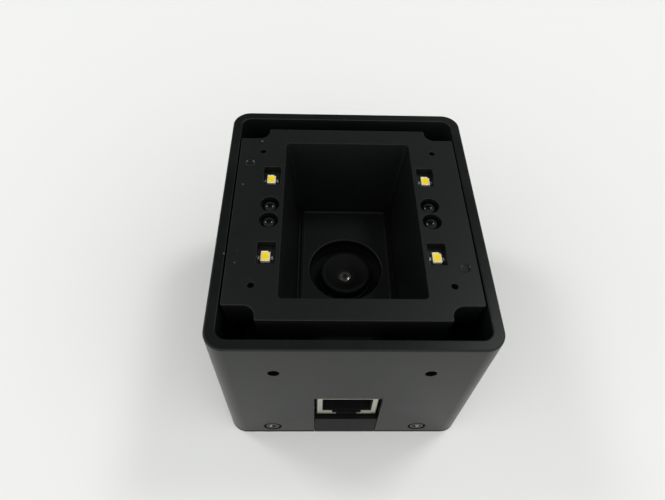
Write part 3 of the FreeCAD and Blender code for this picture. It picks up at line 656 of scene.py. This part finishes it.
def black_moulding(name, shade, roughness, texture, dust=(), rings=()):
    """Black plastic with the texture of a spark-eroded mould, specks of dust and rings.

    A ring has its centre, its radius, how far it reaches to both sides and its roughness.
    """
    finish, place = new_finish(name)
    grain = noise(place, texture, 3.0)
    cloud = noise(place, 9.0, 3.0)
    low, high = [[value * share for value in shade] + [1] for share in (0.8, 1.2)]
    gloss = roughness + grain * 0.1 + cloud * 0.05
    for centre, radius, reach, in_ring in rings:
        off_ring = abs(away_from(place, centre) - radius * MM)
        gloss = gloss + (1 - ramp(off_ring, reach * MM, (reach + 0.2) * MM)) * (in_ring - roughness)
    dirty = dusted(place, dust)
    surface(place, {"Base Color": blend(dirty, blend(cloud, low, high), (0.10, 0.105, 0.105, 1)),
                    "Roughness": gloss, "Specular IOR Level": 0.27, "Specular Tint": (0.92, 1.0, 0.955, 1),
                    "Normal": relief(grain, 0.01)})
    return finish


mark_rings = [((x, y, CASE_TOP), MARK_RADIUS - MARK_RING, MARK_RING, MARK_ROUGHNESS) for x, y in PIN_MARKS]
panel_black = black_moulding("panel_black", (0.0034, 0.0038, 0.0037), 0.36, 0.2, PANEL_DUST, mark_rings)
finished(make_panel(), "funnel_panel", "panel_black", panel_black, "light_panel")


# Lens plate: a black moulded plate at the foot of the funnel, with a low lip round its top. A round well in
# it leaves the lens free, and four posts stand it on the main board.
MAIN_BOARD_TOP = 10.8
FLANGE_X, FLANGE_Y, FLANGE_FOOT, FLANGE_HEIGHT = 14.4, 22.15, 24.8, 1.2
PAD_X, PAD_Y, PAD_FOOT, PAD_TOP = 12.25, 20.7, 25.5, 27.0
PLATE_CORNER, PLATE_ROUNDING = 1.0, 0.4
LIP_WIDTH, LIP_HEIGHT, TRAY_CORNER = 0.5, 0.3, 0.6
BOSS_X, BOSS_FOOT, BOSS_TOP = 11, 20.3, 25.9
POST_X, POST_Y, POST_HALF, POST_TOP = 10.5, 17.5, 2, 25.3
WELL_RADIUS, WELL_FLOOR, WELL_CUT = 9.8, 21.5, 8
HOLDER_HOLE, HOLDER_CUT_FOOT, HOLDER_CUT = 7.5, 19, 4
PLATE_DUST = [(-7.0, 19.0, 27.0, 0.1)]
ROUGH_WELL = ((0, 0, WELL_FLOOR), 5.1, 5.0, 0.85)


def make_lens_plate():
    shape = raised(rounded_face(FLANGE_X, FLANGE_Y, PLATE_CORNER, 6, FLANGE_FOOT), FLANGE_HEIGHT)
    parts = [raised(rounded_face(PAD_X, PAD_Y, PLATE_CORNER, 6, PAD_FOOT), PAD_TOP - PAD_FOOT),
             block(span(BOSS_X), span(BOSS_X), (BOSS_FOOT, BOSS_TOP))]
    for side, end in CORNERS:
        parts.append(block(span(POST_HALF, side * POST_X), span(POST_HALF, end * POST_Y),
                           (MAIN_BOARD_TOP, POST_TOP)))
    shape = machined(shape, "UNION", parts)
    tray_floor = PAD_TOP - LIP_HEIGHT
    tray = raised(rounded_face(PAD_X - LIP_WIDTH, PAD_Y - LIP_WIDTH, TRAY_CORNER, 6, tray_floor), PAST)
    rounded_edges(tray, LIP_HEIGHT - 0.02, 5, level_at(tray_floor))
    well = placed(bar(WELL_RADIUS, WELL_CUT, 72), (0, 0, WELL_FLOOR))
    holder_hole = placed(bar(HOLDER_HOLE, HOLDER_CUT, 64), (0, 0, HOLDER_CUT_FOOT))
    shape = machined(shape, "DIFFERENCE", [tray, well, holder_hole])
    rounded_edges(shape, PLATE_ROUNDING, 4, level_at(PAD_TOP))
    return rounded_edges(shape, PLATE_ROUNDING, 4, level_at(tray_floor))


plate_black = black_moulding("plate_black", (0.0022, 0.0026, 0.0024), 0.42, 0.25, PLATE_DUST, [ROUGH_WELL])
finished(make_lens_plate(), "well_plate", "plate_black", plate_black, "lens_plate")


# Lens: a black anodised barrel screwed into its holder. A wide cone in its face leads to the small coated
# front lens; behind it sit the rear lens, the sensor and its cover glass, on the camera board.
LENS_SEAT = 22.7
LENS_OUTLINE = [(5.7, 25.2), (6.45, 25.2), (6.75, 24.9), (6.75, 22.4), (6.55, 22.2), (6.0, 22.2),
                (6.0, 17.6), (4.0, 17.6), (4.0, 20.1), (2.6, 20.1), (2.6, LENS_SEAT), (2.1, LENS_SEAT),
                (1.7, 22.9), (1.75, 23.05), (2.5, 23.1), (2.65, 23.08)]
LENS_ROUNDING = 0.03
RING_PITCH, KNURLS = 0.12, 120
GLASS_RADIUS, GLASS_BULGE = 2.05, 0.45
GLASS_EDGE, GLASS_EDGE_LENGTH = 2.55, 1.4


def make_lens_body():
    return rounded_edges(turned(LENS_OUTLINE, 72), LENS_ROUNDING, 2)


def lens_anodised():
    """Fine turned rings and knurled sides under a deep black anodised coat."""
    finish, place = new_finish("lens_black")
    x, y = axes(place)[:2]
    squared = squares(x, y)
    radius = squared.maths("SQRT", squared)
    turn = x.maths("ARCTAN2", y, x) * (KNURLS / (2 * math.pi))
    knurl = abs(turn % 1.0 - 0.5) * ramp(radius, 6.6 * MM, 6.7 * MM) * 6.0
    cloud = noise(place, 2.0)
    surface(place, {"Base Color": blend(cloud, (0.0062, 0.0071, 0.0067, 1), (0.0080, 0.0090, 0.0085, 1)),
                    "Roughness": 0.45 + cloud * 0.1, "Specular IOR Level": 0.1,
                    "Normal": relief(waves(radius, RING_PITCH) + knurl, 0.008)})
    return finish


def coated_glass():
    """Clear glass with a painted reflection of its coating: a pale warm ring round a darker middle."""
    finish, place = new_finish("lens_glass")
    x, y = axes(place)[:2]
    squared = squares(x, y)
    outside, inside = beyond(squared, 1.6, 1.8), beyond(squared, 0.0, 0.9)
    painted_reflection = inside * (1 - outside) * (0.75 + noise(place, 1.0) * 0.5)
    # The pale warm ring is painted into the glass's colour; it is a painted reflection, not a tint of the
    # glass.
    surface(place, {"Base Color": blend(painted_reflection, (0.10, 0.09, 0.075, 1), (0.72, 0.70, 0.66, 1)),
                    "Roughness": 0.06 + painted_reflection * 0.03, "IOR": 1.45, "Transmission Weight": 0.9})
    return finish


def make_front_lens():
    cap = round_cap(GLASS_RADIUS, GLASS_BULGE, 2 * GLASS_BULGE, 48)
    edge = placed(bar(GLASS_EDGE, GLASS_EDGE_LENGTH, 48), (0, 0, LENS_SEAT - GLASS_EDGE_LENGTH))
    return machined(placed(cap, (0, 0, LENS_SEAT + GLASS_BULGE)), "UNION", [edge])


lens_black, lens_glass = lens_anodised(), coated_glass()
finished(make_lens_body(), "lens_body", "lens_black", lens_black, "lens_barrel")
finished(make_front_lens(), "front_lens", "lens_glass", lens_glass, "lens_front_glass")
finish_nodes(lens_glass, "lens_rear_glass", "sensor_glass")


# Camera and main board: green circuit boards with the sensor, the decoder, the memory and the connectors.
# The main board is screwed to the standoffs of the base cover, and brass spacers carry the camera on it.
def chip_epoxy():
    """Black moulding compound, a little rough, with a paler sheen where it was ground."""
    finish, place = new_finish("chip_black")
    sand = noise(place, 0.15)
    sheen = ramp(noise(place, 4.0), 0.4, 0.7)
    surface(place, {"Base Color": blend(sheen, (0.014, 0.014, 0.015, 1), (0.024, 0.024, 0.025, 1)),
                    "Roughness": 0.5 + sand * 0.2, "Normal": relief(sand, 0.02)})
    return finish


def turned_brass():
    """Brass with a fine grain and a little tarnish."""
    finish, place = new_finish("spacer_brass")
    tarnish = noise(place, 1.5, 4.0)
    surface(place, {"Base Color": blend(tarnish, (0.62, 0.43, 0.16, 1), (0.76, 0.56, 0.25, 1)),
                    "Metallic": 1.0, "Roughness": 0.25 + tarnish * 0.2,
                    "Normal": relief(noise(place, 0.2), 0.01)})
    return finish


board_green = circuit_board("board_green", (0.008, 0.085, 0.035, 1), (0.015, 0.14, 0.06, 1))
holder_black = black_moulding("holder_black", (0.004, 0.004, 0.0042), 0.45, 0.3)
plain_steel = screw_metal("machine_steel", (0.42, 0.42, 0.43, 1), (0.58, 0.58, 0.58, 1),
                          metallic=1.0, roughness=0.28, gloss=0.5)
finish_nodes(board_green, "main_board", "camera_board")
finish_nodes(chip_epoxy(), "decoder_chip", "memory_chip", "image_sensor")
finish_nodes(cream_plastic, "camera_plug", "camera_socket")
finish_nodes(turned_brass(), "camera_spacers")
finish_nodes(holder_black, "lens_holder")
finish_nodes(plain_steel, "main_board_screws", "lens_holder_screws")


# Jack: a shield of thin bright sheet, folded round a black moulded core and soldered to the main board.
# Eight gilt spring contacts lie in the comb of the core, under the roof of the plug's opening.
JACK_FRONT, JACK_BACK = -35.0, -17.0
JACK_X, JACK_TOP = 7.7, 24.1
SHEET, FOLD_ROUNDING, SHIELD_MARGIN, FRONT_LIFT = 0.3, 0.45, 0.2, 1
CORE_GAP, JACK_ROUNDING = 0.05, 0.06
PLUG_X, PLUG_FLOOR, PLUG_ROOF, PLUG_END = 6.0, 14.0, 21.4, -22.0
LATCH_X, LATCH_FLOOR, LATCH_END = 3.5, 12.3, -26.0
KEY_X, KEY_FLOOR = 2.45, 11.2
CONTACTS, CONTACT_PITCH = 8, 1.02
RIB_HALF, RIB_FRONT, RIB_BACK, RIB_DROP, RIB_ROOT = 0.13, -33.4, -30.0, 0.8, 0.4
SPRING_FRONT, SPRING_BEND, SPRING_END = -32.5, -30.0, -23.5
SPRING_DROP, SPRING_THICKNESS, SPRING_WIDTH, SPRING_ROUNDING = 3.4, 0.35, 0.45, 0.08


def plug_opening(margin, y, latch_y):
    """Cuts for the plug and for the stepped slot of its latch, each larger by a margin."""
    steps = ((PLUG_X, PLUG_FLOOR, PLUG_ROOF, y), (LATCH_X, LATCH_FLOOR, PLUG_FLOOR, latch_y),
             (KEY_X, KEY_FLOOR, LATCH_FLOOR, latch_y))
    return [block(span(x + margin), depth, (low - margin, high + margin)) for x, low, high, depth in steps]


def make_jack_shield():
    shape = block(span(JACK_X), (JACK_FRONT, JACK_BACK), (MAIN_BOARD_TOP, JACK_TOP))
    rounded_edges(shape, FOLD_ROUNDING, 4, lambda edge: not level_at(MAIN_BOARD_TOP)(edge))
    inside = block(span(JACK_X - SHEET), (JACK_FRONT + SHEET, JACK_BACK - SHEET),
                   (MAIN_BOARD_TOP - PAST, JACK_TOP - SHEET))
    mouth = (JACK_FRONT - PAST, JACK_FRONT + 2 * SHEET)
    under_front = block(span(JACK_X + PAST), (JACK_FRONT - PAST, JACK_FRONT + SHEET),
                        (0, MAIN_BOARD_TOP + FRONT_LIFT))
    opening = plug_opening(SHIELD_MARGIN, mouth, mouth)
    shape = machined(shape, "DIFFERENCE", [inside, under_front] + opening)
    return rounded_edges(shape, JACK_ROUNDING, 2)


def make_jack_core():
    inset = SHEET + CORE_GAP
    shape = block(span(JACK_X - inset), (JACK_FRONT + inset, JACK_BACK - inset),
                  (MAIN_BOARD_TOP, JACK_TOP - inset))
    opening = plug_opening(0.0, (JACK_FRONT - PAST, PLUG_END), (JACK_FRONT - PAST, LATCH_END))
    shape = machined(shape, "DIFFERENCE", opening)
    comb = [block(span(RIB_HALF, (index - CONTACTS / 2) * CONTACT_PITCH), (RIB_FRONT, RIB_BACK),
                  (PLUG_ROOF - RIB_DROP, PLUG_ROOF + RIB_ROOT)) for index in range(CONTACTS + 1)]
    return rounded_edges(machined(shape, "UNION", comb), JACK_ROUNDING, 2)


def make_contact(x):
    upper = [(SPRING_FRONT, PLUG_ROOF), (SPRING_BEND, PLUG_ROOF), (SPRING_END, PLUG_ROOF - SPRING_DROP)]
    lower = [(y, z - SPRING_THICKNESS) for y, z in reversed(upper)]
    shape = extruded([(x - SPRING_WIDTH / 2, y, z) for y, z in upper + lower], (SPRING_WIDTH, 0, 0))
    return rounded_edges(shape, SPRING_ROUNDING, 3)


def tinned_sheet():
    """Tin-plated sheet: rolled lines along it, a warm cast and a soft haze."""
    finish, place = new_finish("shield_bright")
    x, y, z = axes(place)
    rolled = place.node("CombineXYZ", {}, {0: x * 0.1, 1: y * 0.1, 2: z})
    lines = noise(rolled, 0.12)
    haze = noise(place, 1.6, 4.0)
    surface(place, {"Base Color": blend(haze, (0.48, 0.46, 0.39, 1), (0.60, 0.58, 0.50, 1)),
                    "Metallic": 1.0, "Roughness": 0.24 + haze * 0.14 + lines * 0.06,
                    "Normal": relief(lines, 0.01)})
    return finish


def gilt_wire():
    """Gold flash over nickel on the springs, rubbed paler in patches."""
    finish, place = new_finish("contact_gold")
    rubbed = noise(place, 0.8, 3.0)
    surface(place, {"Base Color": blend(rubbed, (0.72, 0.50, 0.18, 1), (0.85, 0.64, 0.30, 1)),
                    "Metallic": 1.0, "Roughness": 0.2 + rubbed * 0.15,
                    "Normal": relief(noise(place, 0.2), 0.01)})
    return finish


insert_black = black_moulding("insert_black", (0.0022, 0.0022, 0.0023), 0.5, 0.25)
finished(make_jack_shield(), "jack_can", "shield_bright", tinned_sheet(), "jack_shield")
finished(make_jack_core(), "jack_core", "insert_black", insert_black, "jack_insert")
contact_gold = gilt_wire()
for index in range(CONTACTS):
    spring = make_contact((index - (CONTACTS - 1) / 2) * CONTACT_PITCH)
    number = str(index + 1)
    finished(spring, "jack_spring_" + number, "contact_gold", contact_gold, "jack_contact_" + number)


# Base cover: a black aluminium plate between the walls, with a tab that closes the foot of the jack's slot.
# Lugs at its four corners take the cover screws, and standoffs carry the main board.
COVER_X, COVER_Y, COVER_THICKNESS = 28.25, 33.35, 2.0
TAB_X, TAB_TOP, TAB_ROUNDING = 8.08, 10.5, 0.12
LUG_HALF, LUG_Y, LUG_FOOT, LUG_TOP = 4, 28.35, 0.5, 8.0
STANDOFF_X, STANDOFF_Y, STANDOFF_RADIUS = 23.9, 22.0, 2.887
STANDOFF_FOOT, STANDOFF_HEIGHT = 0.5, 8.7
BORE_RADIUS, BORE_LENGTH = 1.0, 8


def make_base_cover():
    shape = raised(rounded_face(COVER_X, COVER_Y, INNER_CORNER, 10, 0), COVER_THICKNESS)
    tab = block(span(TAB_X), (-CASE_Y, -INNER_Y), (0, TAB_TOP))
    at_foot = level_at(0)

    def ahead_of(y):
        return lambda edge: all(vert.co.y < y for vert in edge.verts)

    on_face, near_face = ahead_of(0.1 - CASE_Y), ahead_of(0.7 - CASE_Y)
    rounded_edges(tab, FOOT_ROUNDING, 4, lambda edge: at_foot(edge) and on_face(edge))
    parts = [rounded_edges(tab, TAB_ROUNDING, 2, near_face),
             block(span(TAB_X), (-INNER_Y - 0.1, -LUG_Y), (0, COVER_THICKNESS))]
    bores = []
    for side, end in CORNERS:
        lug_x, lug_y = side * COVER_SCREW_X, sorted((end * LUG_Y, end * COVER_Y))
        parts.append(block(span(LUG_HALF, lug_x), lug_y, (LUG_FOOT, LUG_TOP)))
        x, y = side * STANDOFF_X, end * STANDOFF_Y
        parts.append(placed(bar(STANDOFF_RADIUS, STANDOFF_HEIGHT, 6), (x, y, STANDOFF_FOOT)))
        lug_face = (lug_x, end * (INNER_Y + PAST), COVER_SCREW_Z)
        bores.append(placed(bar(BORE_RADIUS, BORE_LENGTH, 20), lug_face, (end * 90, 0, 0)))
        bores.append(placed(bar(BORE_RADIUS, BORE_LENGTH, 20), (x, y, COVER_THICKNESS)))
    return machined(machined(shape, "UNION", parts), "DIFFERENCE", bores)


def cover_anodised():
    """The same black coat as the case on a rolled plate, a little darker, with faint rolling lines."""
    finish, place = new_finish("cover_black")
    x, y, z = axes(place)
    rolled = place.node("CombineXYZ", {}, {0: x * 0.08, 1: y, 2: z})
    lines = noise(rolled, 0.25)
    smudge = noise(place, 10.0, 3.0)
    surface(place, {"Base Color": blend(smudge, (0.0034, 0.0038, 0.0038, 1), (0.0050, 0.0055, 0.0055, 1)),
                    "Roughness": 0.45 + smudge * 0.08, "IOR": 1.18, "Normal": relief(lines, 0.008)})
    return finish


finished(make_base_cover(), "floor_cover", "cover_black", cover_anodised(), "base_cover")


# Cover screws: four small countersunk cross-head screws through the front and back walls into the lugs of
# the cover. They are blackened steel, rubbed bright where the driver bites.
SCREW_RADIUS, SCREW_SINK, SCREW_ROUNDING = 1.85, 0.05, 0.04
SCREW_OUTLINE = [(0, 0), (1.75, 0), (SCREW_RADIUS, -0.1), (SCREW_RADIUS, -0.5), (0.95, -1.4),
                 (0.95, -5.4), (0.6, -5.8), (0, -5.8)]
CROSS_X, CROSS_Y, CROSS_CORNER, CROSS_DEPTH, CROSS_SPREAD = 0.7, 0.1, 0.08, 0.9, 0.45
SCREW_TURNS = (20, 65, 48, 8)


def make_cover_screw():
    """Screw with its head's face at height 0 and its shank down the axis."""
    cross = []
    for angle in (0, 90):
        slot = raised(rounded_face(CROSS_X, CROSS_Y, CROSS_CORNER, 3, -CROSS_DEPTH), 1.0, CROSS_SPREAD)
        cross.append(placed(slot, (0, 0, 0), (0, 0, angle)))
    return rounded_edges(machined(turned(SCREW_OUTLINE, 40), "DIFFERENCE", cross), SCREW_ROUNDING, 2)


def blackened_steel():
    """Blackened steel, rubbed to bare metal on some walls of the recess where the driver bites."""
    finish, place = new_finish("screw_black")
    x, y, z = axes(place)
    depth = (CASE_Y - SCREW_SINK) * MM - abs(y)
    in_recess = ramp(depth, 0.03 * MM, 0.1 * MM) * (1 - ramp(depth, 0.35 * MM, 0.6 * MM))
    near_axis = 1 - beyond(squares(abs(x) - COVER_SCREW_X * MM, z - COVER_SCREW_Z * MM), 1.2, 1.3)
    worn = in_recess * near_axis * ramp(noise(place, 0.9), 0.46, 0.6)
    surface(place, {"Base Color": blend(worn, (0.018, 0.019, 0.019, 1), (0.16, 0.16, 0.155, 1)),
                    "Metallic": 1.0, "Roughness": 0.3 - worn * 0.05,
                    "Normal": relief(noise(place, 0.2), 0.02)})
    return finish


screws = []
for (side, end), angle in zip(CORNERS, SCREW_TURNS):
    screw = placed(make_cover_screw(), (0, 0, 0), (0, 0, angle))
    face = (side * COVER_SCREW_X, end * (CASE_Y - SCREW_SINK), COVER_SCREW_Z)
    screws.append(placed(screw, face, (-end * 90, 0, 0)))
finished(joined(screws), "cover_screw_set", "screw_steel", blackened_steel(), "cover_screws")


# Table, lamps and camera: a plain pale table under two small ceiling lamps in a pale room, seen from in
# front and above. The room is dark where the top of the reader mirrors it.
TABLE_RADIUS = 4.0
LAMP_SIZE = 0.27
FRONT_WALL, BACK_WALL = (1.92, 1.94, 1.92, 1), (0.54, 0.55, 0.54, 1)
CEILING, DARK_PATCH = (0.85, 0.86, 0.85, 1), (0.05, 0.051, 0.052, 1)
DARK_WAY = (-0.08, 0.5, 0.86)
CAMERA_POSE = ((0.999537, -0.009011, -0.029065, -0.007863),
               (-0.010024, 0.804336, -0.594090, -0.082283),
               (0.028732, 0.594106, 0.803873, 0.146618),
               (0, 0, 0, 1))

floor_shape = bmesh.new()
bmesh.ops.create_circle(floor_shape, cap_ends=True, segments=96, radius=TABLE_RADIUS)
floor = as_object(floor_shape, "floor")
table_white, table_place = new_finish("table_white")
table_shade = blend(noise(table_place, 300.0), (0.83, 0.83, 0.81, 1), (0.86, 0.86, 0.84, 1))
surface(table_place, {"Base Color": table_shade, "Roughness": 0.6})
floor.data.materials.append(table_white)


def ceiling_lamp(name, place, power):
    """Square lamp that faces the reader."""
    lamp = bpy.data.lights.new(name, "AREA")
    lamp.size = LAMP_SIZE
    lamp.energy = power
    made = bpy.data.objects.new(name, lamp)
    made.location = place
    made.rotation_euler = (-Vector(place)).to_track_quat("-Z", "Y").to_euler()
    bpy.context.collection.objects.link(made)


ceiling_lamp("lamp_left", (-0.72, 0.36, 0.93), 2.5)
ceiling_lamp("lamp_right", (0.53, 0.34, 1.05), 2.8)

room = bpy.data.worlds.new("room")
room.use_nodes = True
room.node_tree.nodes.clear()
bpy.context.scene.world = room
around = Wire(room.node_tree).node("TexCoord", {}, {}, "Generated")
backwards, upwards = axes(around)[1:]
walls = blend(ramp(backwards, -0.7, 0.5), FRONT_WALL, BACK_WALL)
walls_and_ceiling = blend(ramp(upwards, 0.5, 0.8), walls, CEILING)
mirrored = around.node("VectorMath", {"operation": "DOT_PRODUCT"}, {0: around, 1: DARK_WAY}, "Value")
room_light = blend(ramp(mirrored, 0.7, 0.95), walls_and_ceiling, DARK_PATCH)
around.node("OutputWorld", {}, {"Surface": around.node("Background", {}, {"Color": room_light})})

lens = bpy.data.cameras.new("camera")
lens.lens = 28.71
lens.sensor_width = 36.0
lens.clip_start = 0.005
camera = bpy.data.objects.new("camera", lens)
camera.matrix_world = Matrix(CAMERA_POSE)
bpy.context.collection.objects.link(camera)
bpy.context.scene.camera = camera
bpy.context.scene.view_settings.view_transform = "Standard"
